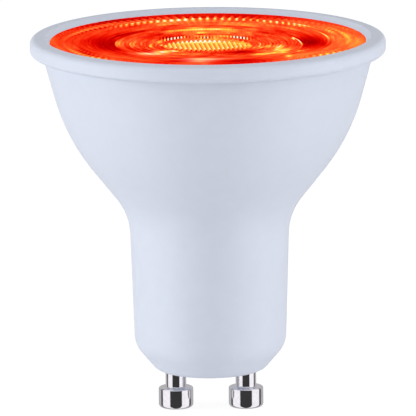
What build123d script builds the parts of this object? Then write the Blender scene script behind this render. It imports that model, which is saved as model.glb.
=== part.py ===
from build123d import *
import os

# LED spotlight bulb with a two-pin twist-lock base, in millimetres.
# The origin is midway between the tips of the contact pins, with +Z towards the lens
# and the pins side by side along X.

os.makedirs("parts", exist_ok=True)

# Contact pins: a round head, a slimmer neck and a shank through the base
pin_spacing = 10.0
pin_head_d = 4.95
pin_head_h = 2.94
pin_tip_round = 0.55
pin_edge_round = 0.25
pin_neck_d = 2.95
pin_neck_sweep = 0.25
pin_flat_w = 0.05
pin_reach = 5.6
pin_shank_d = 2.4
pin_tail_h = 1.6
pin_fit = 0.03

# Housing outline from the base up: bevelled base, neck, flared cup and rim
base_r = 7.65
base_round = 1.9
bevel_h = 3.71
bevel_round = 3.85
neck_low_r = 10.78
neck_h = 19.0
neck_top_r = 11.4
neck_round = 9.07
flare_h = 11.16
belly_r = 20.24
belly_round = 29.0
cup_h = 11.64
rim_h = 2.67
rim_r = 25.25
rim_step = 1.82
rim_under_rise = 0.48
rim_under_round = 0.6
rim_top_fall = 0.17
rim_top_round = 0.8
rim_w = 2.1
lip_bevel = 0.66
wall = 1.5
floor_t = 2.0

# Guide ribs inside the neck, which hold the driver board by its edges
rib_lift = 0.6
rib_h = 9.0
rib_t = 1.0
rib_bite = 1.0
shelf_h = 1.8
slot_fit = 0.1

# Heat sink cup: a drawn dish that hangs by its flange under the lens
cup_gap = 0.2
cup_t = 1.0
cup_flange_t = 0.8
cup_depth = 8.9

# Lens: radial ribs round the edge, stepped rings, and a ribbed centre
lens_t = 1.7
lens_fit = 0.05
lens_land_w = 0.5
edge_rib_count = 108
edge_rib_w = 0.55
edge_rib_l = 3.3
edge_rib_h = 0.3
edge_rib_gap = 0.2
bead_w = 0.55
ring_count = 11
ring_step_h = 0.2
dish_fall = 0.65
centre_r = 6.4
centre_rib_pitch = 0.66
centre_rib_w = 0.36
centre_rib_h = 0.25
centre_rib_turn = 5.4

# LED board, its LEDs and its two screws
led_board_t = 1.0
led_board_margin = 1.6
led_ring_r = 9.5
led_ring_count = 6
led_l = 3.5
led_w = 2.8
led_h = 0.7
led_window_d = 2.3
led_window_h = 0.12
screw_ring_r = 12.8
screw_d = 2.0
screw_head_d = 3.8
screw_head_h = 1.3
screw_slot_w = 0.5
screw_slot_deep = 0.5
screw_l = 4.0
screw_fit = 0.1

# Driver board and the components soldered to it
driver_t = 1.2
driver_h = 26.0
driver_edge_gap = 0.5
seat_gap = 0.05
capacitor_d = 6.3
capacitor_l = 11.0
capacitor_bevel = 0.5
capacitor_vent_w = 0.3
capacitor_vent_deep = 0.2
capacitor_at = (3.6, 17.5)
inductor_d = 6.0
inductor_waist_d = 4.6
inductor_l = 6.5
inductor_cheek_t = 1.1
inductor_at = (-3.8, 18.0)
film_l = 7.0
film_w = 3.2
film_h = 6.0
film_round = 0.6
film_at = (3.0, 7.0)
fuse_d = 2.6
fuse_waist_d = 2.1
fuse_l = 7.0
fuse_cap_l = 1.3
fuse_at = (-3.4, 7.0)
varistor_d = 7.0
varistor_t = 3.0
varistor_bevel = 0.8
varistor_at = (0.0, 5.0)
chip_w = 3.9
chip_body_h = 1.4
chip_lead_w = 0.42
chip_lead_reach = 1.0
chip_lead_t = 0.5
chip_pitch = 1.27
bridge_l = 4.7
bridge_pitch = 2.54
bridge_lead_count = 2
bridge_at = (0.0, 13.5)
driver_chip_l = 4.9
driver_chip_lead_count = 4
driver_chip_at = (0.0, 20.5)

# Leads: pins to the driver board, and driver board to the LED board
lead_d = 1.2
led_lead_spacing = 8.0
led_lead_stub = 0.5
led_lead_fit = 0.25

# Heights and radii that follow from the sizes above
z_base = pin_reach
z_floor = z_base + floor_t
z_bevel = z_base + bevel_h
z_neck = z_bevel + neck_h
z_belly = z_neck + flare_h
z_rim = z_belly + cup_h
z_crest = z_rim + rim_h
z_lens_top = z_crest - lip_bevel
z_lens_low = z_lens_top - lens_t
z_ledge = z_lens_low - cup_flange_t
z_cup_low = z_ledge - cup_depth
z_led_board = z_cup_low + cup_t
z_led = z_led_board + led_board_t
z_ribs = z_bevel + rib_lift
z_driver = z_ribs + shelf_h
z_driver_top = z_driver + driver_h
z_pin_tail = z_floor + pin_tail_h
mouth_r = rim_r - rim_step
crest_r = rim_r - rim_w
pocket_r = crest_r - lip_bevel
lens_r = pocket_r - lens_fit
lead_r = lead_d / 2
driver_half_w = neck_low_r - wall - driver_edge_gap
driver_face = driver_t / 2


def cup_wall_r(z, inset):
    """Radius of the upper cup wall at height z, set in from the outside."""
    return mouth_r - (mouth_r - belly_r) * (z_rim - z) / cup_h - inset


def save(builder, name):
    """Labels a finished piece and writes it to its own file."""
    builder.part.label = name
    export_step(builder.part, f"parts/{name}.step")


# Contact pins
pin_head_r = pin_head_d / 2
pin_neck_r = pin_neck_d / 2
pin_shank_r = pin_shank_d / 2
pin_shoulder = pin_head_r - pin_neck_r
for side, pin_x in (("left", -pin_spacing / 2), ("right", pin_spacing / 2)):
    with BuildPart() as contact_pin:
        with BuildSketch(Plane((pin_x, 0, 0), x_dir=(1, 0, 0), z_dir=(0, -1, 0))):
            with BuildLine():
                FilletPolyline(
                    (0, 0),
                    (pin_head_r, 0),
                    (pin_head_r, pin_head_h),
                    (pin_neck_r, pin_head_h),
                    (pin_neck_r, z_base),
                    (pin_shank_r, z_base),
                    (pin_shank_r, z_pin_tail),
                    (0, z_pin_tail),
                    radius=[
                        pin_tip_round,
                        pin_edge_round,
                        min(pin_neck_sweep, pin_shoulder - pin_edge_round - pin_flat_w),
                        0,
                        0,
                        0,
                    ],
                )
                Line((0, z_pin_tail), (0, 0))
            make_face()
        revolve(axis=Axis((pin_x, 0, 0), (0, 0, 1)))
    save(contact_pin, f"contact_pin_{side}")

# Outer housing: base, neck, cup and rim moulded in one piece
floor_in_r = base_r - wall + (neck_low_r - base_r) * floor_t / bevel_h
rib_in_x = driver_half_w - rib_bite
rib_out_x = neck_low_r - wall / 2
slot_out_x = driver_half_w + slot_fit
slot_w = driver_t + 2 * slot_fit
with BuildPart() as outer_housing:
    with BuildSketch(Plane.XZ):
        with BuildLine():
            FilletPolyline(
                (0, z_base),
                (base_r, z_base),
                (neck_low_r, z_bevel),
                (neck_top_r, z_neck),
                (belly_r, z_belly),
                (mouth_r, z_rim),
                (rim_r, z_rim + rim_under_rise),
                (rim_r, z_crest - rim_top_fall),
                (crest_r, z_crest),
                radius=[
                    base_round,
                    bevel_round,
                    neck_round,
                    belly_round,
                    0,
                    rim_under_round,
                    rim_top_round,
                ],
            )
            Polyline(
                (crest_r, z_crest),
                (pocket_r, z_lens_top),
                (pocket_r, z_ledge),
                (cup_wall_r(z_ledge, wall), z_ledge),
            )
            FilletPolyline(
                (cup_wall_r(z_ledge, wall), z_ledge),
                (belly_r - wall, z_belly),
                (neck_top_r - wall, z_neck),
                radius=belly_round,
            )
            Polyline(
                (neck_top_r - wall, z_neck),
                (neck_low_r - wall, z_bevel),
                (floor_in_r, z_floor),
                (0, z_floor),
                (0, z_base),
            )
        make_face()
    revolve(axis=Axis.Z)
    with BuildSketch(Plane.XY.offset(z_ribs)):
        with Locations((-(rib_in_x + rib_out_x) / 2, 0), ((rib_in_x + rib_out_x) / 2, 0)):
            Rectangle(rib_out_x - rib_in_x, slot_w + 2 * rib_t)
    extrude(amount=rib_h)
    with BuildSketch(Plane.XY.offset(z_driver)):
        with Locations((-(rib_in_x + slot_out_x) / 2, 0), ((rib_in_x + slot_out_x) / 2, 0)):
            Rectangle(slot_out_x - rib_in_x, slot_w)
    extrude(amount=rib_h - shelf_h, mode=Mode.SUBTRACT)
    with BuildSketch(Plane.XY.offset(z_base)):
        with Locations((-pin_spacing / 2, 0), (pin_spacing / 2, 0)):
            Circle(pin_shank_r + pin_fit)
    extrude(amount=floor_t, mode=Mode.SUBTRACT)
save(outer_housing, "outer_housing")

# Heat sink cup, which follows the inside of the housing and hangs on its ledge
cup_inset = wall + cup_gap
cup_in_inset = cup_inset + cup_t
cup_mouth_r = cup_wall_r(z_ledge, cup_in_inset)
lead_hole_r = lead_r + led_lead_fit


def cup_face(inset, z_cut):
    """Half section of the space inside the housing's wall, set in from the outside and above a height."""
    with BuildSketch(Plane.XZ) as face:
        with BuildLine():
            FilletPolyline(
                (cup_wall_r(z_ledge, inset), z_ledge),
                (belly_r - inset, z_belly),
                (neck_top_r - inset, z_neck),
                radius=belly_round,
            )
            Polyline(
                (neck_top_r - inset, z_neck),
                (0, z_neck),
                (0, z_ledge),
                (cup_wall_r(z_ledge, inset), z_ledge),
            )
        make_face()
        with Locations((0, z_cut)):
            Rectangle(2 * belly_r, z_cut - z_neck, align=(Align.CENTER, Align.MAX), mode=Mode.SUBTRACT)
    return face.sketch


cup_solid_face = cup_face(cup_inset, z_cup_low)
cup_hollow_face = cup_face(cup_in_inset, z_led_board)
with BuildPart() as heat_sink_cup:
    with BuildSketch(Plane.XZ):
        add(cup_solid_face)
        add(cup_hollow_face, mode=Mode.SUBTRACT)
        with Locations((cup_mouth_r, z_ledge)):
            Rectangle(lens_r - cup_mouth_r, cup_flange_t, align=Align.MIN)
    revolve(axis=Axis.Z)
    with BuildSketch(Plane.XY.offset(z_cup_low)):
        with Locations((-led_lead_spacing / 2, 0), (led_lead_spacing / 2, 0)):
            Circle(lead_hole_r)
        with Locations((0, -screw_ring_r), (0, screw_ring_r)):
            Circle(screw_d / 2 + screw_fit)
    extrude(amount=cup_t, mode=Mode.SUBTRACT)
save(heat_sink_cup, "heat_sink_cup")

# Lens: the radial edge ribs stand in a shallow trench, stepped rings fall towards
# the middle, and straight ribs cross the round centre
trench_out_r = lens_r - lens_land_w
trench_in_r = trench_out_r - edge_rib_l - 2 * edge_rib_gap
field_r = trench_in_r - bead_w
ring_pitch = (field_r - centre_r) / ring_count
z_trench = z_lens_top - edge_rib_h
z_centre = z_lens_top - dish_fall
lens_profile = [
    (0, z_lens_low),
    (lens_r, z_lens_low),
    (lens_r, z_lens_top),
    (trench_out_r, z_lens_top),
    (trench_out_r, z_trench),
    (trench_in_r, z_trench),
    (trench_in_r, z_lens_top),
    (field_r, z_lens_top),
]
for ring in range(ring_count):
    ring_z = z_lens_top - dish_fall * ring / ring_count
    lens_profile.append((field_r - ring * ring_pitch, ring_z - ring_step_h))
    lens_profile.append((field_r - (ring + 1) * ring_pitch, ring_z))
lens_profile.append((centre_r, z_centre - centre_rib_h))
lens_profile.append((0, z_centre - centre_rib_h))
centre_rib_count = int(2 * centre_r / centre_rib_pitch)
with BuildPart() as lens:
    with BuildSketch(Plane.XZ):
        with BuildLine():
            Polyline(*lens_profile, close=True)
        make_face()
    revolve(axis=Axis.Z)
    with BuildSketch(Plane.XY.offset(z_trench)):
        with PolarLocations((trench_out_r + trench_in_r) / 2, edge_rib_count):
            Rectangle(edge_rib_l, edge_rib_w)
    extrude(amount=edge_rib_h)
    with BuildSketch(Plane.XY.offset(z_centre - centre_rib_h).rotated((0, 0, centre_rib_turn))):
        with GridLocations(centre_rib_pitch, 0, centre_rib_count, 1):
            Rectangle(centre_rib_w, 2 * centre_r)
        Circle(centre_r - centre_rib_w, mode=Mode.INTERSECT)
    extrude(amount=centre_rib_h)
save(lens, "lens")

# LED board, a metal-backed disc on the floor of the heat sink cup
led_board_r = belly_r - cup_in_inset - led_board_margin
with BuildPart() as led_board:
    with BuildSketch(Plane.XY.offset(z_led_board)):
        Circle(led_board_r)
        with Locations((-led_lead_spacing / 2, 0), (led_lead_spacing / 2, 0)):
            Circle(lead_hole_r, mode=Mode.SUBTRACT)
        with Locations((0, -screw_ring_r), (0, screw_ring_r)):
            Circle(screw_d / 2 + screw_fit, mode=Mode.SUBTRACT)
    extrude(amount=led_board_t)
save(led_board, "led_board")

# LED packages: one in the middle and a ring round it
with BuildPart() as led_packages:
    with BuildSketch(Plane.XY.offset(z_led)):
        with PolarLocations(led_ring_r, led_ring_count):
            Rectangle(led_l, led_w)
        Rectangle(led_l, led_w)
    extrude(amount=led_h)
    with BuildSketch(Plane.XY.offset(z_led + led_h)):
        with PolarLocations(led_ring_r, led_ring_count):
            Circle(led_window_d / 2)
        Circle(led_window_d / 2)
    extrude(amount=led_window_h)
save(led_packages, "led_packages")

# Board screws, which clamp the LED board to the heat sink cup
with BuildPart() as board_screws:
    with BuildSketch(Plane.XY.offset(z_led)):
        with Locations((0, -screw_ring_r), (0, screw_ring_r)):
            Circle(screw_d / 2)
    extrude(amount=-screw_l)
    with BuildSketch(Plane.XY.offset(z_led)):
        with Locations((0, -screw_ring_r), (0, screw_ring_r)):
            Circle(screw_head_d / 2)
    extrude(amount=screw_head_h)
    with BuildSketch(Plane.XY.offset(z_led + screw_head_h)):
        with Locations((0, -screw_ring_r), (0, screw_ring_r)):
            Rectangle(screw_head_d, screw_slot_w)
    extrude(amount=-screw_slot_deep, mode=Mode.SUBTRACT)
save(board_screws, "board_screws")

# Driver board, upright in the neck with its edges in the guide ribs
with BuildPart() as driver_board:
    with BuildSketch(Plane.XY.offset(z_driver)):
        Rectangle(2 * driver_half_w, driver_t)
    extrude(amount=driver_h)
save(driver_board, "driver_board")


def front_plane(place, gap=0.0):
    """Plane on the board's front face, which looks along -Y, at a place on it."""
    across, up = place
    return Plane((across, -driver_face - gap, z_driver + up), x_dir=(1, 0, 0), z_dir=(0, -1, 0))


def back_plane(place):
    """Plane on the board's back face, which looks along +Y, at a place on it."""
    across, up = place
    return Plane((across, driver_face, z_driver + up), x_dir=(-1, 0, 0), z_dir=(0, 1, 0))


# Smoothing capacitor, a can that lies upright against the front face
capacitor_x, capacitor_up = capacitor_at
capacitor_y = -driver_face - seat_gap - capacitor_d / 2
with BuildPart() as smoothing_capacitor:
    with BuildSketch(Plane((capacitor_x, capacitor_y, z_driver + capacitor_up - capacitor_l / 2))):
        Circle(capacitor_d / 2)
    extrude(amount=capacitor_l)
    can_top = smoothing_capacitor.faces().sort_by(Axis.Z)[-1]
    can_bottom = smoothing_capacitor.faces().sort_by(Axis.Z)[0]
    chamfer(can_top.edges() + can_bottom.edges(), length=capacitor_bevel)
    with BuildSketch(Plane((capacitor_x, capacitor_y, z_driver + capacitor_up + capacitor_l / 2))):
        Rectangle(capacitor_d / 2, capacitor_vent_w)
        Rectangle(capacitor_vent_w, capacitor_d / 2)
    extrude(amount=-capacitor_vent_deep, mode=Mode.SUBTRACT)
save(smoothing_capacitor, "smoothing_capacitor")

# Power inductor, a wound drum that stands on the front face
with BuildPart() as power_inductor:
    with BuildSketch(front_plane(inductor_at)):
        Circle(inductor_d / 2)
    extrude(amount=inductor_cheek_t)
    with BuildSketch(front_plane(inductor_at, inductor_cheek_t)):
        Circle(inductor_waist_d / 2)
    extrude(amount=inductor_l - 2 * inductor_cheek_t)
    with BuildSketch(front_plane(inductor_at, inductor_l - inductor_cheek_t)):
        Circle(inductor_d / 2)
    extrude(amount=inductor_cheek_t)
save(power_inductor, "power_inductor")

# Film capacitor, a moulded box on the front face
with BuildPart() as film_capacitor:
    with BuildSketch(front_plane(film_at)):
        RectangleRounded(film_l, film_h, film_round)
    extrude(amount=film_w)
save(film_capacitor, "film_capacitor")

# Fuse resistor, a rod with two end caps that lies upright against the front face
fuse_x, fuse_up = fuse_at
fuse_y = -driver_face - seat_gap - fuse_d / 2
z_fuse = z_driver + fuse_up - fuse_l / 2
with BuildPart() as fuse_resistor:
    with BuildSketch(Plane((fuse_x, fuse_y, z_fuse))):
        Circle(fuse_waist_d / 2)
    extrude(amount=fuse_l)
    for cap_z in (z_fuse, z_fuse + fuse_l - fuse_cap_l):
        with BuildSketch(Plane((fuse_x, fuse_y, cap_z))):
            Circle(fuse_d / 2)
        extrude(amount=fuse_cap_l)
save(fuse_resistor, "fuse_resistor")

# Surge varistor, a coated disc on the back face
with BuildPart() as surge_varistor:
    with BuildSketch(back_plane(varistor_at)):
        Circle(varistor_d / 2)
    extrude(amount=varistor_t)
    chamfer(surge_varistor.faces().sort_by(Axis.Y)[-1].edges(), length=varistor_bevel)
save(surge_varistor, "surge_varistor")


def chip(place, length, pitch, lead_count):
    """A flat moulded package with leads along its two long sides."""
    with BuildPart() as package:
        with BuildSketch(back_plane(place)):
            Rectangle(chip_w, length)
        extrude(amount=chip_body_h)
        with BuildSketch(back_plane(place)):
            with GridLocations(0, pitch, 1, lead_count):
                Rectangle(chip_w + 2 * chip_lead_reach, chip_lead_w)
        extrude(amount=chip_lead_t)
    return package


# Bridge rectifier and driver chip, both on the back face
save(chip(bridge_at, bridge_l, bridge_pitch, bridge_lead_count), "bridge_rectifier")
save(chip(driver_chip_at, driver_chip_l, chip_pitch, driver_chip_lead_count), "driver_chip")

# Supply leads, from the tails of the pins to the foot of the driver board
for name, lead_x in (("line_lead", -pin_spacing / 2), ("neutral_lead", pin_spacing / 2)):
    with BuildPart() as supply_lead:
        with BuildSketch(Plane((lead_x, 0, z_pin_tail))):
            Circle(lead_r)
        extrude(amount=z_driver - z_pin_tail)
    save(supply_lead, name)

# LED leads, from the head of the driver board up through the LED board
led_lead_l = z_led + led_lead_stub - z_driver_top
for name, lead_x in (
    ("led_lead_positive", -led_lead_spacing / 2),
    ("led_lead_negative", led_lead_spacing / 2),
):
    with BuildPart() as led_lead:
        with BuildSketch(Plane((lead_x, 0, z_driver_top))):
            Circle(lead_r)
        extrude(amount=led_lead_l)
    save(led_lead, name)
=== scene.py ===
import math

import bmesh
import bpy
from mathutils import Matrix, Vector


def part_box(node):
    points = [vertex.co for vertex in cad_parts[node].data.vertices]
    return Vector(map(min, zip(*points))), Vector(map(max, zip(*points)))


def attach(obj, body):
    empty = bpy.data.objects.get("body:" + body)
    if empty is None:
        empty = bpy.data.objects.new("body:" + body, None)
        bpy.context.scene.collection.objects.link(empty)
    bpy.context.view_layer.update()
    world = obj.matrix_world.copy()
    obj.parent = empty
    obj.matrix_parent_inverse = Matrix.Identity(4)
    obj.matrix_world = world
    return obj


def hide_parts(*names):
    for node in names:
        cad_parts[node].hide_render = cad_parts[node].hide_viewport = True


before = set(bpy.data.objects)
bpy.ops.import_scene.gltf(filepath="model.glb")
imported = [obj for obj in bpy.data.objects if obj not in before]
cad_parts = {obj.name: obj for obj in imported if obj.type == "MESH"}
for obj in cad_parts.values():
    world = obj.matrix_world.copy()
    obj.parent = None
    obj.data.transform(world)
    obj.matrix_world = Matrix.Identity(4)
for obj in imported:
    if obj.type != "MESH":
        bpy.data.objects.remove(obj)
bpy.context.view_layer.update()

# Looks of a lit LED spotlight bulb with a two-pin base. Objects are in metres. The lens's own
# sizes and the patterns on it are in millimetres and degrees.

MM = 0.001
BODY = "root"

# Camera, placed as in the photograph
CAMERA_AT = (-0.00019, -1.212, 0.26873)
CAMERA_DOWN = math.radians(11.193)
CAMERA_ROLL = math.radians(-0.53)
CAMERA_LENS_MM = 751.15
SENSOR_MM = 36.0

# Floor, with one grey and glow as the camera sees it and another as it lights the lamp
FLOOR_HALF = 3.0
FLOOR_TINT = 0.2
FLOOR_GLOW = 0.88
FLOOR_PALE = 0.8
FLOOR_LIFT = 0.235

# World and lights
WORLD_LEVEL = 0.55
WORLD_TINT = (1.0, 1.0, 1.04, 1)
LIGHT_DISTANCE = 0.95
LIGHT_SIZE = 0.6
AIM_AT = Vector((0, 0, 0.03))

# Lights: name, turn from the front towards +X and rise in degrees, power
LIGHTS = [
    ("light_left", -82, 4, 7.2),
    ("light_right", 82, 4, 5.1),
    ("light_front", 18, 42, 1.15),
    ("light_top", 180, 66, 0.4),
]

# Cards round the studio, which only reflections show, in place of the white background, the floor and the
# lights: where each starts, in degrees from the front, and its level
CARDS = [(0, 0.042), (40, 1.0), (98, 0.10), (119, 0.49)]
CARD_BLUR = 1.5
CARD_TINT = (1.0, 0.99, 1.01, 1)

# A white card above them, which fades in with height and fades out from the sides to the back
TOP_CARD_RISE = (0.3, 0.6)
TOP_CARD_TURN = (110, 70)
TOP_CARD_LEVEL = 1.0

# Lens: its edge ribs, stepped rings and ribbed centre, as on the solid that it stands for
LAND_W = 0.5
EDGE_RIB_COUNT = 108
EDGE_RIB_L = 3.3
EDGE_RIB_H = 0.3
EDGE_RIB_GAP = 0.2
BEAD_W = 0.55
RING_COUNT = 11
RING_STEP_H = 0.2
DISH_FALL = 0.65
CENTRE_R = 6.4
CENTRE_RIB_PITCH = 0.66
CENTRE_RIB_W = 0.36
CENTRE_RIB_H = 0.25
CENTRE_RIB_TURN = math.radians(5.4)

# Finer forms of the lens: its soft edges, the share of a centre rib's section that is left at its ends,
# how far the rib sinks into its floor, the points over its back, and the angle from which an edge is sharp
EDGE_SOFT = 0.06
CENTRE_RIB_END = 0.4
CENTRE_RIB_SINK = 0.02
CENTRE_RIB_POINTS = 7
SHARP_FROM = math.radians(40)

# Height of an edge rib at each column of its pitch, in shares
RIB_SECTION = (1.0, 0.9, 0.0, 0.0, 0.0, 0.0, 0.0, 0.9)


def make_camera():
    """A long lens that looks slightly down on the lamp."""
    data = bpy.data.cameras.new("camera")
    data.sensor_width = SENSOR_MM
    data.lens = CAMERA_LENS_MM
    camera = bpy.data.objects.new("camera", data)
    bpy.context.collection.objects.link(camera)
    tilt = Matrix.Rotation(math.radians(90) - CAMERA_DOWN, 4, "X")
    roll = Matrix.Rotation(CAMERA_ROLL, 4, "Z")
    camera.matrix_world = Matrix.Translation(CAMERA_AT) @ tilt @ roll
    bpy.context.scene.camera = camera


# Shader helpers

def srgb(red, green, blue):
    """Linear colour of an 8-bit display colour."""
    def linear(level):
        share = level / 255
        return share / 12.92 if share <= 0.04045 else ((share + 0.055) / 1.055) ** 2.4
    return (linear(red), linear(green), linear(blue), 1.0)


class Field:
    """A number that varies over a surface, made of math nodes."""

    def __init__(self, tree, socket):
        self.tree = tree
        self.socket = socket

    def math(self, operation, *others):
        node = self.tree.nodes.new("ShaderNodeMath")
        node.operation = operation
        for socket, value in zip(node.inputs, (self, *others)):
            if isinstance(value, Field):
                self.tree.links.new(value.socket, socket)
            else:
                socket.default_value = value
        return Field(self.tree, node.outputs[0])

    def __add__(self, other):
        return self.math("ADD", other)

    def __sub__(self, other):
        return self.math("SUBTRACT", other)

    def __mul__(self, other):
        return self.math("MULTIPLY", other)

    def __truediv__(self, other):
        return self.math("DIVIDE", other)

    __radd__ = __add__
    __rmul__ = __mul__

    def __rsub__(self, other):
        return self * -1.0 + other

    def power(self, other):
        return self.math("POWER", other)

    def wave(self, pitch, shift=0.0):
        """From 0 to 1 and back over each pitch, with its crest at the shift."""
        turn = (self - shift) * (2 * math.pi / pitch)
        return turn.math("COSINE") * 0.5 + 0.5

    def step(self, zero_at, one_at):
        """Smoothly from 0 at one value to 1 at another, which may be the smaller."""
        node = self.tree.nodes.new("ShaderNodeMapRange")
        node.interpolation_type = "SMOOTHSTEP"
        self.tree.links.new(self.socket, node.inputs["Value"])
        rising = zero_at < one_at
        node.inputs["From Min"].default_value = min(zero_at, one_at)
        node.inputs["From Max"].default_value = max(zero_at, one_at)
        node.inputs["To Min"].default_value = 0.0 if rising else 1.0
        node.inputs["To Max"].default_value = 1.0 if rising else 0.0
        return Field(self.tree, node.outputs["Result"])

    def bell(self, middle, width):
        """A smooth bump of height 1."""
        share = (self - middle) / width
        return (share * share * -1.0).math("EXPONENT")


def new_material(name, roughness=0.5, metallic=0.0):
    """A material with one principled shader, and its node tree and shader."""
    material = bpy.data.materials.new(name)
    material.use_nodes = True
    tree = material.node_tree
    shader = tree.nodes["Principled BSDF"]
    shader.inputs["Roughness"].default_value = roughness
    shader.inputs["Metallic"].default_value = metallic
    return material, tree, shader


def place(tree):
    """The surface point's own x, y and z in millimetres."""
    coordinates = tree.nodes.new("ShaderNodeTexCoord")
    split = tree.nodes.new("ShaderNodeSeparateXYZ")
    tree.links.new(coordinates.outputs["Object"], split.inputs[0])
    return [Field(tree, split.outputs[axis]) / MM for axis in range(3)]


def vector(tree, *fields):
    """A vector socket of three fields or numbers."""
    node = tree.nodes.new("ShaderNodeCombineXYZ")
    for socket, value in zip(node.inputs, fields):
        if isinstance(value, Field):
            tree.links.new(value.socket, socket)
        else:
            socket.default_value = value
    return node.outputs[0]


def noise(tree, at, scale, detail=2.0):
    """Cloudy noise around 0.5 at a vector socket."""
    texture = tree.nodes.new("ShaderNodeTexNoise")
    texture.inputs["Scale"].default_value = scale
    texture.inputs["Detail"].default_value = detail
    tree.links.new(at, texture.inputs["Vector"])
    return Field(tree, texture.outputs["Fac"])


def ramp(tree, field, stops):
    """Colours along a field, as (place, colour) stops."""
    node = tree.nodes.new("ShaderNodeValToRGB")
    elements = node.color_ramp.elements
    while len(elements) < len(stops):
        elements.new(1.0)
    for element, (at, colour) in zip(elements, stops):
        element.position = at
        element.color = colour
    tree.links.new(field.socket, node.inputs[0])
    return node.outputs["Color"]


def add_bump(tree, shader, field, height):
    """Fine relief of a given height in metres."""
    node = tree.nodes.new("ShaderNodeBump")
    node.inputs["Distance"].default_value = height
    tree.links.new(field.socket, node.inputs["Height"])
    tree.links.new(node.outputs["Normal"], shader.inputs["Normal"])


# Clouds in a finish: where on the noise its two colours lie, the share that its gloss swings by, and how
# much finer its relief is
CLOUD_STOPS = (0.3, 0.7)
CLOUD_GLOSS_SWING = 0.4
RELIEF_FINER = 5


def add_tones(tree, shader, cloud, dark, light):
    """Colours a shader from dark to light along a cloud."""
    stops = list(zip(CLOUD_STOPS, (dark, light)))
    tree.links.new(ramp(tree, cloud, stops), shader.inputs["Base Color"])


def cloudy(name, dark, light, per_mm, roughness, metallic=0.0, relief=0.0):
    """A finish that wanders between two colours, with a matching wander in its gloss."""
    material, tree, shader = new_material(name, roughness, metallic)
    at = vector(tree, *place(tree))
    cloud = noise(tree, at, per_mm)
    add_tones(tree, shader, cloud, dark, light)
    gloss = (cloud - 0.5) * (CLOUD_GLOSS_SWING * roughness) + roughness
    tree.links.new(gloss.socket, shader.inputs["Roughness"])
    if relief:
        add_bump(tree, shader, noise(tree, at, per_mm * RELIEF_FINER), relief)
    return material


# Materials

def housing_material():
    """Satin white moulded plastic with a cool tint."""
    dark = srgb(208, 214, 226)
    light = srgb(210, 216, 228)
    return cloudy("housing_plastic", dark, light, per_mm=0.5, roughness=0.45, relief=0.000003)


# Plated pins, with the depth of the lathe's rings in metres
PIN_ROUGHNESS = 0.09
PIN_GLOSS_SWING = 0.08
PIN_CLOUDS_PER_MM = 1.5
LATHE_RINGS_PER_MM = 9.0
LATHE_DEPTH = 0.0000008


def pin_material():
    """Bright nickel plate over turned brass, with the faint rings of the lathe."""
    material, tree, shader = new_material("pin_nickel", PIN_ROUGHNESS, 1.0)
    x, y, z = place(tree)
    cloud = noise(tree, vector(tree, x, y, z), PIN_CLOUDS_PER_MM)
    add_tones(tree, shader, cloud, srgb(236, 234, 238), srgb(246, 244, 248))
    rings = noise(tree, vector(tree, 0.0, 0.0, z), LATHE_RINGS_PER_MM)
    gloss = (rings - 0.5) * PIN_GLOSS_SWING + PIN_ROUGHNESS
    tree.links.new(gloss.socket, shader.inputs["Roughness"])
    add_bump(tree, shader, rings, LATHE_DEPTH)
    return material


# Glow of the lens, from dark red to white hot. The strengths and levels below add up to a place on it.
# Radii are in millimetres, and azimuths in degrees from the back towards +X.
GLOW_COLOURS = [
    (0.00, srgb(95, 0, 0)),
    (0.15, srgb(165, 0, 0)),
    (0.30, srgb(216, 5, 0)),
    (0.42, srgb(241, 34, 7)),
    (0.52, srgb(248, 66, 25)),
    (0.62, srgb(251, 98, 42)),
    (0.72, srgb(251, 140, 56)),
    (0.80, srgb(251, 182, 60)),
    (0.88, srgb(252, 224, 84)),
    (0.95, srgb(252, 244, 160)),
    (1.00, srgb(254, 254, 240)),
]
GLOW_BASE = 0.50
GLOW_STRENGTH = 1.0
# Colour of the painted pale highlights, which the glow is mixed towards
HIGHLIGHT_COLOUR = srgb(255, 222, 200)
UNLIT_COLOUR = srgb(80, 0, 0)
LENS_ROUGHNESS = 0.3

# Keeps the radius above 0 at the middle
NEAR_ZERO = 0.0001

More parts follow.
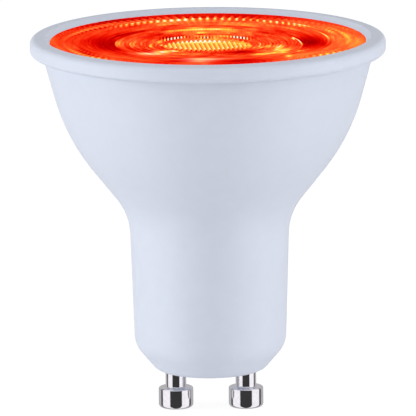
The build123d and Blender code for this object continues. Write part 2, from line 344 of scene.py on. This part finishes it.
# Soft arcs of light and shade: radius, azimuth, half widths of both, the turn that leans the arc inwards
# as its azimuth grows, strength
ARCS = [
    # Outer rings, across the back
    (17.9, -8, 0.9, 18, 0, 0.12),
    (18.0, 48, 0.35, 6, 0, 0.26),
    (18.2, 52, 0.6, 14, 0, 0.12),
    (18.0, -48, 0.8, 9, 0, -0.08),
    (15.6, 4, 1.2, 50, 0, 0.08),
    (15.5, -26, 0.3, 6, 0, 0.15),
    (14.7, 22, 0.3, 7, 0, 0.22),
    (14.0, 46, 0.8, 12, 0, -0.10),
    # Middle rings, across the back
    (12.5, 8, 4.5, 32, 0, 0.11),
    (12.0, -46, 4.5, 13, 0, -0.09),
    (13.3, 0, 0.25, 55, 0, -0.30),
    (13.0, -36, 0.25, 8, 3, -0.26),
    (12.2, -36, 0.28, 9, 4, 0.24),
    (12.2, 14, 0.8, 14, 0, 0.15),
    (12.0, 28, 0.2, 16, 0, -0.16),
    (11.8, 42, 0.5, 11, 0, -0.26),
    (11.2, -2, 0.55, 17, 0, 0.30),
    (11.0, 2, 0.45, 36, 0, 0.12),
    (10.2, -38, 0.45, 9, 3, -0.18),
    # Inner rings, across the back
    (9.1, 4, 0.45, 28, 0, 0.24),
    (8.5, -43, 0.6, 11, 0, -0.34),
    (7.8, 47, 0.9, 10, 0, -0.11),
    (7.3, 6, 0.8, 45, 0, 0.16),
    # Beside the crescents on the left
    (13.9, -62, 0.25, 12, 1.2, -0.28),
    (13.8, -58, 1.0, 9, 0, -0.15),
    (11.0, -118, 1.2, 14, 0, -0.16),
    (10.3, -57, 0.3, 6, 0, -0.22),
    (7.6, -70, 1.0, 12, 0, 0.13),
    # Pale lines and band on the right
    (17.2, 76, 0.28, 13, 0, 0.42),
    (17.8, 85, 0.2, 5, 0, 0.18),
    (18.9, 68, 0.3, 9, 0, 0.20),
    (19.9, 78, 0.35, 10, 0, 0.20),
    (19.9, 97, 0.25, 6, 0, 0.12),
    (20.0, 90, 2.5, 34, 0, 0.15),
    (21.6, 92, 0.8, 14, 0, 0.10),
    (20.4, 122, 0.3, 10, 5.7, 0.30),
    (18.8, 132, 1.7, 18, 0, 0.12),
    # Outer band at the back, dark, and paler at its right end
    (21.6, -38, 0.9, 36, 0, -0.30),
    (21.5, 20, 0.9, 30, 0, -0.17),
    (21.4, 45, 0.8, 14, 0, 0.10),
    (20.0, 48, 0.9, 16, 0, 0.10),
    # Outer band and the lines inside it on the left
    (21.7, -86, 0.7, 20, 0, 0.14),
    (20.3, -115, 0.35, 20, 0, 0.22),
    (20.1, -60, 0.6, 20, 0, 0.09),
    (20.0, -131, 0.3, 9, -4.8, 0.22),
    (19.8, -45, 0.6, 14, 0, 0.10),
    (19.8, -90, 0.7, 9, 0, -0.07),
    (19.45, -117, 0.25, 10, 0, -0.24),
    (19.35, -64, 0.22, 17, 1.7, -0.30),
    (18.6, -112, 0.3, 9, 0, -0.18),
]

# Arcs of painted light and shade with one crisp edge: radius of the edge, azimuth, depth of the fade
# (outwards if above 0), half width, strength, and how far the edge moves out over each degree
EDGES = [
    # Bright crescents of painted light on the left, and the painted dark shade beside them
    (13.2, -91, -1.8, 16, 0.21, 0.0),
    (11.1, -92, -1.4, 13, 0.28, 0.0),
    (8.3, -92, -0.5, 14, 0.42, 0.0),
    (13.2, -88, 5.8, 25, -0.28, 0.0),
    (13.0, -111, 4.4, 14, -0.16, 0.0),
    # Bright lines of painted light on the right, and the painted dark shade beyond them
    (13.1, 86, -0.35, 17, 0.55, 0.04),
    (13.35, 92, 4.8, 21, -0.38, 0.04),
    (7.5, 92, -0.35, 12, 0.30, 0.0),
    (9.0, 92, -0.35, 10, 0.16, 0.0),
]

# How an edge rises, in millimetres from its radius, and how it fades out, in shares of its depth
EDGE_RISE = (-0.12, 0.05)
EDGE_FADE = (1.0, 0.3)

# Straight strokes of light and shade: x, y, half length, half width, direction, strength
STROKES = [
    # Front right
    (9.9, -3.9, 2.4, 0.45, 78, 0.34),
    (10.7, -6.8, 0.9, 1.7, 0, 0.27),
    (10.5, -6.5, 2.6, 2.4, 0, 0.11),
    (7.1, -9.9, 1.4, 1.3, -20, 0.30),
    (8.6, -8.8, 1.8, 0.9, 45, 0.26),
    (8.0, -2.2, 2.2, 1.2, 0, 0.24),
    (10.2, -9.0, 1.2, 0.8, 0, 0.22),
    (11.3, -12.3, 0.5, 1.6, 0, 0.28),
    (13.1, -8.1, 0.5, 0.6, 0, 0.38),
    (13.9, -7.0, 0.4, 0.5, 0, 0.24),
    (12.5, -11.5, 3.0, 3.0, 0, 0.07),
    (5.6, -5.6, 1.2, 1.0, 0, -0.12),
    (8.0, -6.4, 1.3, 1.0, 0, 0.13),
    (11.4, -4.0, 1.0, 1.5, 0, 0.10),
    # Beside the right end of the centre
    (5.2, 2.8, 1.6, 0.8, 0, 0.05),
    # Front left
    (-8.0, -8.2, 1.6, 1.1, 0, 0.34),
    (-6.3, -6.0, 1.2, 1.2, 0, 0.44),
    (-4.9, -4.7, 1.3, 0.9, 0, 0.42),
    (-7.5, -9.2, 3.5, 2.4, 0, 0.10),
    # Front
    (-0.7, -13.6, 2.3, 1.0, 0, 0.38),
    (-1.3, -15.9, 1.7, 1.0, 0, 0.34),
    (-0.5, -18.0, 0.9, 0.9, 0, 0.15),
    (-4.4, -16.0, 1.8, 1.2, 0, -0.15),
    (4.5, -15.8, 3.2, 1.3, 0, -0.20),
    (4.5, -18.0, 3.5, 1.2, 0, -0.16),
    (4.0, -6.8, 2.6, 1.8, 0, -0.22),
    (-2.4, -7.4, 2.6, 1.6, 0, 0.13),
]

# Painted pale highlights at the front and front left: x, y, half length, half width, direction, strength
PALE_HIGHLIGHTS = [
    (-0.6, -13.6, 2.2, 0.9, 0, 0.5),
    (-1.2, -15.8, 1.6, 1.0, 0, 0.3),
    (-8.2, -8.4, 1.4, 0.9, 0, 0.5),
    (-6.6, -6.3, 1.0, 0.8, 0, 0.3),
]

# Where the painted dark shade lies at both sides: radius and half width, and how sharply it keeps to the
# sides
SIDE_SHADE_R = (15.0, 1.8)
SIDE_SHADE_FOCUS = 8.0

# Noise of painted light and shade drawn out round the lens: its scale along the radius, its scale round the
# lens, its detail
STREAKS = (1.5, 3.5, 3.0)
BANDS = (0.75, 2.2, 2.0)
GRAIN = (3.0, 9.0, 2.0)
STREAK_LEVEL = 0.44
STREAK_LOSS_IN_SIDE_SHADE = 0.28
BAND_LEVEL = 0.55
GRAIN_LEVEL = 0.26
GRAIN_LOSS_IN_SIDE_SHADE = 0.12
GRAIN_INSIDE_R = (14.0, 9.0)
GRAIN_GAIN_INSIDE = 0.14
GRAIN_OUTSIDE_R = (15.0, 18.5)
GRAIN_LOSS_OUTSIDE = 0.20

# Fine rings of painted light and shade between the centre and the bead
FINE_RINGS_PER_STEP = 2
FINE_RING_LEVEL = 0.04
FINE_RING_GAIN_SIDEWAYS = 0.06
FINE_RING_LOSS_IN_SIDE_SHADE = 0.07
FINE_RING_FADE_IN = 0.3
FINE_RING_FADE_OUT = 0.4

# Light in the edge ribs: in the outer band, most of all at the back left, and inside it across the back
OUTER_RIB_FADE = 0.4
OUTER_RIB_AZIMUTH = (-48, 32)
OUTER_RIB_GAIN = 0.18
OUTER_RIB_LEVEL = 0.01
INNER_RIB_R = (16.2, 1.4)
INNER_RIB_AZIMUTH = (0, 55)
INNER_RIB_LEVEL = 0.10

# Painted highlights: bright dots at the inner ends of the edge ribs across the back, smaller towards the
# right
DOT_R = 18.1
DOT_HALF_W = 0.8
DOT_FIRST = (-58, -42)
DOT_LAST = (58, 40)
DOT_SMALLER = (-15, 25)
DOT_FOCUS = 0.8
DOT_FOCUS_GAIN = 1.3
DOT_LEVEL = 0.22
DOT_SPARKLE = 0.5
DOT_GAP_SHADE = 0.04
SPARKLES_PER_MM = 0.35

# Faint scallops of painted light and shade on the bright line behind the centre
SCALLOP_R = (11.2, 0.7)
SCALLOP_AZIMUTH = (2, 45)
SCALLOP_PITCH = 0.42
SCALLOP_LEVEL = 0.07

# White and dark teeth of painted light and shade along the back of the centre, in a ring that bows out and
# widens to the sides
TEETH_R = 6.8
TEETH_BOW = 0.03
TEETH_HALF_W = 0.38
TEETH_WIDENING = 0.006
TEETH_PITCH = 0.47
TEETH_SHADE = 0.42
TEETH_FADE = 0.1
TEETH_FROM_Y = (0.0, 1.5)
TEETH_LEFT_X = (-7.4, -6.0)
TEETH_RIGHT_X = (7.0, 5.6)
TEETH_LEVEL = 0.4

# Where the teeth are strongest: x, half width, strength
TEETH_PEAKS = [(-4.7, 1.5, 1.4), (-0.4, 0.8, 2.6), (4.5, 1.1, 1.4)]

# Glow on the centre's floor, stronger towards the right
CENTRE_GLOW_FADE = 0.2
CENTRE_GLOW_FROM_Y = (-3.4, -1.4)
CENTRE_GLOW_RIGHT_X = (-3.0, 4.0)
CENTRE_GLOW_LEVEL = 0.13
CENTRE_GLOW_GAIN_RIGHT = 0.12

# Bright eye of painted light on the ribs in the centre: an almond that leans, with its ends bent forwards.
# Its rim, the painted white highlights on the tips of its ribs at the back and their feet at the front are
# given by depth inside its outline.
EYE_X = -0.5
EYE_Y = 0.25
EYE_HALF_L = 6.6
EYE_HALF_W = 4.05
EYE_SAG = 0.01
EYE_LEAN = 0.04
EYE_RIM = (-0.15, 0.35)
EYE_LEVEL = 0.67
EYE_RIB_LEVEL = 0.24
EYE_TIPS = (0.7, 0.7)
EYE_TIPS_FROM_Y = (0.0, 1.5)
EYE_TIPS_X = (-0.8, 3.1)
EYE_TIPS_LEVEL = 0.29
EYE_FEET = (0.7, 0.6)
EYE_FEET_FROM_Y = (0.0, -1.5)
EYE_FEET_LEVEL = 0.08


class LensPoint:
    """Fields that say where a point lies on the lens, in millimetres, degrees and shares."""

    def __init__(self, tree):
        self.x, self.y, _ = place(tree)
        self.radius = (self.x * self.x + self.y * self.y + NEAR_ZERO).math("SQRT")
        self.azimuth = self.x.math("ARCTAN2", self.y) * math.degrees(1)
        self.sideways = self.x / self.radius
        self.lengthways = self.y / self.radius
        # Where the painted dark shade at the sides lies, from 0 to 1
        self.side_shade = self.radius.bell(*SIDE_SHADE_R) * self.sideways.power(SIDE_SHADE_FOCUS)


def offset(tree, at, middle, direction, width):
    """How far a point (a, b, 1) lies from a middle along a direction, in shares of a width."""
    step = Vector((math.cos(direction), math.sin(direction))) / width
    node = tree.nodes.new("ShaderNodeVectorMath")
    node.operation = "DOT_PRODUCT"
    tree.links.new(at, node.inputs[0])
    node.inputs[1].default_value = (step.x, step.y, -step.dot(middle))
    return Field(tree, node.outputs["Value"])


def add_blots(tree, total, at, marks):
    """Adds soft blots to a total: two middles, two half widths, a direction and a strength each."""
    for middle_a, middle_b, width_a, width_b, direction, strength in marks:
        middle = Vector((middle_a, middle_b))
        turn = math.radians(direction)
        along = offset(tree, at, middle, turn, width_a)
        across = offset(tree, at, middle, turn + math.pi / 2, width_b)
        blot = ((along * along + across * across) * -1.0).math("EXPONENT")
        total = blot.math("MULTIPLY_ADD", strength, total)
    return total


def add_edges(heat, point):
    """Adds the arcs of painted light and shade with one crisp edge."""
    for edge_r, middle, fade, width, strength, drift in EDGES:
        share = (point.radius - (point.azimuth - middle) * drift - edge_r) / fade
        crisp = share.step(EDGE_RISE[0] / abs(fade), EDGE_RISE[1] / abs(fade))
        heat = crisp * share.step(*EDGE_FADE) * point.azimuth.bell(middle, width) * strength + heat
    return heat


def ring_noise(tree, point, outwards, around, detail):
    """Noise around 0 that is drawn out round the lens."""
    at = vector(tree, point.radius * outwards, point.sideways * around, point.lengthways * around)
    return noise(tree, at, 1.0, detail) - 0.5


def add_glow_noise(tree, heat, point):
    """Adds streaks and grain of painted light and shade, and broad painted bands at the front and back."""
    streak_level = point.side_shade * -STREAK_LOSS_IN_SIDE_SHADE + STREAK_LEVEL
    heat = heat + ring_noise(tree, point, *STREAKS) * streak_level
    grain_level = point.radius.step(*GRAIN_INSIDE_R) * GRAIN_GAIN_INSIDE + GRAIN_LEVEL
    grain_level = grain_level - point.radius.step(*GRAIN_OUTSIDE_R) * GRAIN_LOSS_OUTSIDE
    grain_level = grain_level - point.side_shade * GRAIN_LOSS_IN_SIDE_SHADE
    heat = heat + ring_noise(tree, point, *GRAIN) * grain_level
    return heat + ring_noise(tree, point, *BANDS) * point.lengthways.power(2.0) * BAND_LEVEL


def add_fine_rings(heat, point, sizes):
    """Adds the fine rings of painted light and shade between the centre and the bead."""
    inner = point.radius.step(CENTRE_R, CENTRE_R + FINE_RING_FADE_IN)
    outer = point.radius.step(sizes["field_r"], sizes["field_r"] - FINE_RING_FADE_OUT)
    level = point.sideways.power(2.0) * FINE_RING_GAIN_SIDEWAYS + FINE_RING_LEVEL
    level = level - point.side_shade * FINE_RING_LOSS_IN_SIDE_SHADE
    rings = point.radius.wave(sizes["ring_pitch"] / FINE_RINGS_PER_STEP, sizes["field_r"]) - 0.5
    return heat + rings * inner * outer * level


def add_ribs(heat, point, sizes):
    """Adds the light in the edge ribs."""
    ribs = point.azimuth.wave(360 / EDGE_RIB_COUNT) - 0.5
    outer = point.radius.step(sizes["trench_in_r"], sizes["trench_in_r"] + OUTER_RIB_FADE)
    outer_level = point.azimuth.bell(*OUTER_RIB_AZIMUTH) * OUTER_RIB_GAIN + OUTER_RIB_LEVEL
    inner = point.radius.bell(*INNER_RIB_R) * point.azimuth.bell(*INNER_RIB_AZIMUTH)
    return heat + ribs * outer * outer_level + ribs * inner * INNER_RIB_LEVEL


def add_dots(tree, heat, point):
    """Adds the painted highlights at the ribs' inner ends, as bright dots, some brighter than others."""
    turn = (point.x / DOT_R).math("ARCSINE") * math.degrees(1)
    focus = point.azimuth.step(*DOT_SMALLER) * DOT_FOCUS_GAIN + DOT_FOCUS
    dots = turn.wave(360 / EDGE_RIB_COUNT).power(focus)
    sparkle = noise(tree, vector(tree, point.x, 0.0, 0.0), SPARKLES_PER_MM)
    ring = point.radius.bell(DOT_R, DOT_HALF_W)
    ring = ring * point.azimuth.step(*DOT_FIRST) * point.azimuth.step(*DOT_LAST)
    return heat + (dots * (sparkle * DOT_SPARKLE + DOT_LEVEL) - DOT_GAP_SHADE) * ring


def add_scallops(heat, point):
    """Adds the faint scallops of painted light and shade behind the centre."""
    ring = point.radius.bell(*SCALLOP_R) * point.azimuth.bell(*SCALLOP_AZIMUTH)
    return heat + (point.x.wave(SCALLOP_PITCH) - 0.5) * ring * SCALLOP_LEVEL


def add_teeth(heat, point):
    """Adds the teeth of painted light and shade along the back of the centre."""
    square = point.x * point.x
    away = point.radius - square * TEETH_BOW - TEETH_R
    ring = (away / (square * TEETH_WIDENING + TEETH_HALF_W)).bell(0.0, 1.0)
    ring = ring * point.radius.step(CENTRE_R - TEETH_FADE, CENTRE_R) * point.y.step(*TEETH_FROM_Y)
    ring = ring * point.x.step(*TEETH_LEFT_X) * point.x.step(*TEETH_RIGHT_X)
    level = TEETH_LEVEL
    for middle, width, strength in TEETH_PEAKS:
        level = point.x.bell(middle, width) * strength + level
    return heat + (point.x.wave(TEETH_PITCH) - TEETH_SHADE) * ring * level


def add_centre(heat, point):
    """Adds the glow on the centre's floor, and puts the bright eye of painted light on the ribs over it."""
    floor = point.radius.step(CENTRE_R, CENTRE_R - CENTRE_GLOW_FADE) * point.y.step(*CENTRE_GLOW_FROM_Y)
    heat = heat + floor * (point.x.step(*CENTRE_GLOW_RIGHT_X) * CENTRE_GLOW_GAIN_RIGHT + CENTRE_GLOW_LEVEL)
    across = point.x * math.cos(CENTRE_RIB_TURN) + point.y * math.sin(CENTRE_RIB_TURN)
    middle = EYE_Y - point.x * point.x * EYE_SAG - point.x * EYE_LEAN
    half_w = (1.0 - ((point.x - EYE_X) / EYE_HALF_L).power(2.0)) * EYE_HALF_W
    depth = half_w - (point.y - middle).math("ABSOLUTE")
    tips = depth.bell(*EYE_TIPS) * point.y.step(*EYE_TIPS_FROM_Y) * point.x.bell(*EYE_TIPS_X)
    feet = depth.bell(*EYE_FEET) * point.y.step(*EYE_FEET_FROM_Y)
    ribs = across.wave(CENTRE_RIB_PITCH) * (feet * EYE_FEET_LEVEL + EYE_RIB_LEVEL)
    eye = ribs + tips * EYE_TIPS_LEVEL + EYE_LEVEL
    return heat + (eye - heat) * depth.step(*EYE_RIM)


def lens_material(sizes):
    """A lit lens as an opaque glow, bright where the ribs and rings of clear plastic would gather light."""
    material, tree, shader = new_material("lens_lit", LENS_ROUGHNESS)
    point = LensPoint(tree)

    # The blots come first, each added to a running total, so that few values are held at once
    heat = add_blots(tree, GLOW_BASE, vector(tree, point.radius, point.azimuth, 1.0), ARCS)
    heat = add_edges(heat, point)
    flat = vector(tree, point.x, point.y, 1.0)
    heat = add_blots(tree, heat, flat, STROKES)
    highlight = add_blots(tree, 0.0, flat, PALE_HIGHLIGHTS)
    heat = add_glow_noise(tree, heat, point)
    heat = add_fine_rings(heat, point, sizes)
    heat = add_ribs(heat, point, sizes)
    heat = add_dots(tree, heat, point)
    heat = add_scallops(heat, point)
    heat = add_teeth(heat, point)
    heat = add_centre(heat, point)

    # Mixes the glow towards a pale colour where the painted highlights lie
    highlighted = tree.nodes.new("ShaderNodeMix")
    highlighted.data_type = "RGBA"
    tree.links.new(highlight.socket, highlighted.inputs["Factor"])
    tree.links.new(ramp(tree, heat, GLOW_COLOURS), highlighted.inputs["A"])
    highlighted.inputs["B"].default_value = HIGHLIGHT_COLOUR
    tree.links.new(highlighted.outputs["Result"], shader.inputs["Emission Color"])
    shader.inputs["Emission Strength"].default_value = GLOW_STRENGTH
    shader.inputs["Base Color"].default_value = UNLIT_COLOUR
    shader.inputs["Specular IOR Level"].default_value = 0.0
    return material


# Finish of each piece inside: dark and light colour, patches per millimetre, roughness, metallic,
# and height of the fine relief in metres
INNER_FINISH = {
    "heat_sink_cup": (srgb(190, 190, 194), srgb(212, 212, 215), 0.8, 0.32, 1.0, 0.000004),
    "led_board": (srgb(226, 226, 222), srgb(236, 236, 232), 1.2, 0.4, 0.0, 0.000002),
    "led_packages": (srgb(255, 150, 70), srgb(255, 190, 110), 2.0, 0.25, 0.0, 0.0),
    "board_screws": (srgb(160, 160, 164), srgb(190, 190, 194), 3.0, 0.3, 1.0, 0.000002),
    "driver_board": (srgb(20, 84, 42), srgb(30, 104, 54), 1.5, 0.4, 0.0, 0.000003),
    "smoothing_capacitor": (srgb(22, 24, 36), srgb(32, 35, 50), 1.0, 0.3, 0.0, 0.0),
    "power_inductor": (srgb(40, 38, 37), srgb(58, 54, 52), 4.0, 0.7, 0.0, 0.00001),
    "film_capacitor": (srgb(196, 150, 40), srgb(208, 164, 52), 1.0, 0.35, 0.0, 0.000002),
    "fuse_resistor": (srgb(88, 128, 150), srgb(104, 146, 168), 3.0, 0.6, 0.0, 0.000006),
    "surge_varistor": (srgb(18, 46, 132), srgb(26, 58, 150), 1.2, 0.28, 0.0, 0.000003),
    "bridge_rectifier": (srgb(24, 24, 25), srgb(36, 36, 37), 3.0, 0.6, 0.0, 0.000004),
    "driver_chip": (srgb(22, 22, 23), srgb(34, 34, 35), 3.0, 0.6, 0.0, 0.000004),
    "line_lead": (srgb(224, 224, 220), srgb(234, 234, 230), 1.5, 0.4, 0.0, 0.000003),
    "neutral_lead": (srgb(222, 222, 218), srgb(232, 232, 228), 1.5, 0.4, 0.0, 0.000003),
    "led_lead_positive": (srgb(168, 18, 14), srgb(184, 26, 20), 1.5, 0.4, 0.0, 0.000003),
    "led_lead_negative": (srgb(26, 26, 26), srgb(38, 38, 38), 1.5, 0.4, 0.0, 0.000003),
}


def dress_cad_nodes():
    """Gives each carried-over solid its material."""
    nickel = pin_material()
    finish = {name: cloudy(f"{name}_finish", *values) for name, values in INNER_FINISH.items()}
    finish["outer_housing"] = housing_material()
    finish["contact_pin_left"] = nickel
    finish["contact_pin_right"] = nickel
    for name, material in finish.items():
        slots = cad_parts[name].data.materials
        slots.clear()
        slots.append(material)


# Lens

def lens_sizes():
    """Radii and heights of the lens in millimetres, from its solid's box."""
    low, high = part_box("lens")
    sizes = {"lens_r": (high[0] - low[0]) / 2 / MM, "z_low": low[2] / MM, "z_top": high[2] / MM}
    sizes["trench_out_r"] = sizes["lens_r"] - LAND_W
    sizes["trench_in_r"] = sizes["trench_out_r"] - EDGE_RIB_L - 2 * EDGE_RIB_GAP
    sizes["field_r"] = sizes["trench_in_r"] - BEAD_W
    sizes["ring_pitch"] = (sizes["field_r"] - CENTRE_R) / RING_COUNT
    sizes["z_trench"] = sizes["z_top"] - EDGE_RIB_H
    sizes["z_floor"] = sizes["z_top"] - DISH_FALL - CENTRE_RIB_H
    return sizes


def lens_rows(sizes):
    """The lens's half section from its outer foot to its middle: radius, height, share of an edge rib."""
    top = sizes["z_top"]
    trench = sizes["z_trench"]
    out_r = sizes["trench_out_r"]
    in_r = sizes["trench_in_r"]
    rows = [
        (sizes["lens_r"], sizes["z_low"], 0),
        (sizes["lens_r"], top - EDGE_SOFT, 0),
        (sizes["lens_r"] - EDGE_SOFT, top, 0),
        (out_r + EDGE_SOFT, top, 0),
        (out_r, top - EDGE_SOFT, 0),
        (out_r, trench, 0),
        (out_r - EDGE_RIB_GAP, trench, 0),
        (out_r - EDGE_RIB_GAP - EDGE_SOFT, trench, 1),
        (in_r + EDGE_RIB_GAP + EDGE_SOFT, trench, 1),
        (in_r + EDGE_RIB_GAP, trench, 0),
        (in_r, trench, 0),
        (in_r, top - EDGE_SOFT, 0),
        (in_r - EDGE_SOFT, top, 0),
        (sizes["field_r"] + EDGE_SOFT, top, 0),
        (sizes["field_r"], top - EDGE_SOFT, 0),
    ]
    for ring in range(RING_COUNT):
        z = top - DISH_FALL * ring / RING_COUNT
        outer = sizes["field_r"] - ring * sizes["ring_pitch"]
        inner = outer - sizes["ring_pitch"]
        rise = RING_STEP_H * EDGE_SOFT / sizes["ring_pitch"]
        rows.append((outer, z - RING_STEP_H, 0))
        rows.append((inner + EDGE_SOFT, z - rise, 0))
        rows.append((inner, z - EDGE_SOFT / 2, 0))
    rows.append((CENTRE_R, sizes["z_floor"], 0))
    return rows


def add_turned(shape, rows):
    """Turns the half section about the axis, with the edge ribs raised on it, and closes it."""
    columns = len(RIB_SECTION)
    count = EDGE_RIB_COUNT * columns
    rings = []
    for radius, z, share in rows:
        ring = []
        for column in range(count):
            turn = 2 * math.pi * column / count
            lift = share * EDGE_RIB_H * RIB_SECTION[column % columns]
            point = Vector((radius * math.cos(turn), radius * math.sin(turn), z + lift))
            ring.append(shape.verts.new(point * MM))
        rings.append(ring)
    for lower, upper in zip(rings, rings[1:]):
        for column in range(count):
            after = (column + 1) % count
            shape.faces.new((lower[column], lower[after], upper[after], upper[column]))
    shape.faces.new(rings[-1])
    shape.faces.new(list(reversed(rings[0])))


def add_centre_rib(shape, middle, z_floor):
    """One straight rib with a rounded back across the lens's centre."""
    half_l = math.sqrt((CENTRE_R - CENTRE_RIB_W) ** 2 - middle ** 2)
    half_w = CENTRE_RIB_W / 2
    turned = Matrix.Rotation(CENTRE_RIB_TURN, 4, "Z")
    stations = [
        (-half_l, CENTRE_RIB_END),
        (-half_l + half_w, 1.0),
        (half_l - half_w, 1.0),
        (half_l, CENTRE_RIB_END),
    ]
    sections = []
    for along, share in stations:
        section = []
        for step in range(CENTRE_RIB_POINTS):
            angle = math.pi * step / (CENTRE_RIB_POINTS - 1)
            across = middle + share * half_w * math.cos(angle)
            rise = (CENTRE_RIB_H + CENTRE_RIB_SINK) * share * math.sin(angle)
            point = turned @ Vector((across, along, z_floor - CENTRE_RIB_SINK + rise))
            section.append(shape.verts.new(point * MM))
        sections.append(section)
    for first, second in zip(sections, sections[1:]):
        for step in range(CENTRE_RIB_POINTS):
            after = (step + 1) % CENTRE_RIB_POINTS
            shape.faces.new((first[step], second[step], second[after], first[after]))
    shape.faces.new(sections[0])
    shape.faces.new(list(reversed(sections[-1])))


def make_lens():
    """The lens with soft edges on its ribs and rings."""
    sizes = lens_sizes()
    shape = bmesh.new()
    add_turned(shape, lens_rows(sizes))
    rib_count = int(2 * CENTRE_R / CENTRE_RIB_PITCH)
    for rib in range(rib_count):
        add_centre_rib(shape, (rib - (rib_count - 1) / 2) * CENTRE_RIB_PITCH, sizes["z_floor"])
    bmesh.ops.recalc_face_normals(shape, faces=shape.faces[:])
    mesh = bpy.data.meshes.new("lens_moulding")
    shape.to_mesh(mesh)
    shape.free()
    for polygon in mesh.polygons:
        polygon.use_smooth = True
    mesh.set_sharp_from_angle(angle=SHARP_FROM)
    mesh.materials.append(lens_material(sizes))
    lens = bpy.data.objects.new("lens_moulding", mesh)
    bpy.context.collection.objects.link(lens)

    # Its glow and shadow stay off the other pieces, and it stays out of reflections
    lens.visible_diffuse = False
    lens.visible_glossy = False
    lens.visible_shadow = False

    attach(lens, BODY)
    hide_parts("lens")


# Studio

def rays(tree, kind):
    """1 for one kind of ray, and 0 for the others."""
    path = tree.nodes.new("ShaderNodeLightPath")
    return Field(tree, path.outputs[f"Is {kind} Ray"])


def make_world():
    """White to look at, an even light from all round, and dark, white and grey cards in reflections."""
    world = bpy.data.worlds.new("studio")
    bpy.context.scene.world = world
    world.use_nodes = True
    tree = world.node_tree
    glossy = rays(tree, "Glossy")
    direct = rays(tree, "Camera") + rays(tree, "Transmission")
    coordinates = tree.nodes.new("ShaderNodeTexCoord")
    split = tree.nodes.new("ShaderNodeSeparateXYZ")
    tree.links.new(coordinates.outputs["Generated"], split.inputs[0])
    across = Field(tree, split.outputs[0])
    back = Field(tree, split.outputs[1])
    turn = across.math("ABSOLUTE").math("ARCTAN2", back * -1.0) * math.degrees(1)
    cards = CARDS[0][1]
    for (_, before), (start, level) in zip(CARDS, CARDS[1:]):
        cards = turn.step(start - CARD_BLUR, start + CARD_BLUR) * (level - before) + cards
    up = Field(tree, split.outputs[2])
    top_card = up.step(*TOP_CARD_RISE) * turn.step(*TOP_CARD_TURN)
    cards = cards + top_card * (TOP_CARD_LEVEL - cards)
    strength = direct * (1.0 - WORLD_LEVEL) + glossy * (cards - WORLD_LEVEL) + WORLD_LEVEL
    background = tree.nodes["Background"]
    tint = tree.nodes.new("ShaderNodeMix")
    tint.data_type = "RGBA"
    tree.links.new(glossy.socket, tint.inputs["Factor"])
    tint.inputs["A"].default_value = WORLD_TINT
    tint.inputs["B"].default_value = CARD_TINT
    tree.links.new(tint.outputs["Result"], background.inputs["Color"])
    tree.links.new(strength.socket, background.inputs["Strength"])


def glowing(tree, grey, strength):
    """A matt grey that also gives light."""
    matt = tree.nodes.new("ShaderNodeBsdfDiffuse")
    matt.inputs["Color"].default_value = (grey, grey, grey, 1)
    glow = tree.nodes.new("ShaderNodeEmission")
    glow.inputs["Strength"].default_value = strength
    both = tree.nodes.new("ShaderNodeAddShader")
    tree.links.new(matt.outputs[0], both.inputs[0])
    tree.links.new(glow.outputs[0], both.inputs[1])
    return both.outputs[0]


def make_floor():
    """A plain pale floor that looks white and keeps a faint shadow."""
    mesh = bpy.data.meshes.new("floor")
    half = FLOOR_HALF
    corners = [(-half, -half, 0), (half, -half, 0), (half, half, 0), (-half, half, 0)]
    mesh.from_pydata(corners, [], [(0, 1, 2, 3)])
    floor = bpy.data.objects.new("floor", mesh)
    bpy.context.collection.objects.link(floor)
    floor.visible_glossy = False
    material = bpy.data.materials.new("floor_white")
    material.use_nodes = True
    tree = material.node_tree
    tree.nodes.clear()
    output = tree.nodes.new("ShaderNodeOutputMaterial")
    direct = rays(tree, "Camera") + rays(tree, "Transmission")
    mix = tree.nodes.new("ShaderNodeMixShader")
    tree.links.new(direct.socket, mix.inputs[0])
    tree.links.new(glowing(tree, FLOOR_PALE, FLOOR_LIFT), mix.inputs[1])
    tree.links.new(glowing(tree, FLOOR_TINT, FLOOR_GLOW), mix.inputs[2])
    tree.links.new(mix.outputs[0], output.inputs[0])
    mesh.materials.append(material)


def make_lights():
    """Large soft lights: low on both sides, stronger on the left, and weak ones high in front and behind."""
    for name, turn, rise, power in LIGHTS:
        data = bpy.data.lights.new(name, "AREA")
        data.size = LIGHT_SIZE
        data.energy = power
        light = bpy.data.objects.new(name, data)
        bpy.context.collection.objects.link(light)
        level = LIGHT_DISTANCE * math.cos(math.radians(rise))
        away = Vector((
            level * math.sin(math.radians(turn)),
            -level * math.cos(math.radians(turn)),
            LIGHT_DISTANCE * math.sin(math.radians(rise)),
        ))
        facing = (-away).to_track_quat("-Z", "Y").to_matrix().to_4x4()
        light.matrix_world = Matrix.Translation(AIM_AT + away) @ facing
        light.visible_glossy = False


make_camera()
make_world()
make_floor()
make_lights()
dress_cad_nodes()
make_lens()
bpy.context.scene.view_settings.view_transform = "Standard"
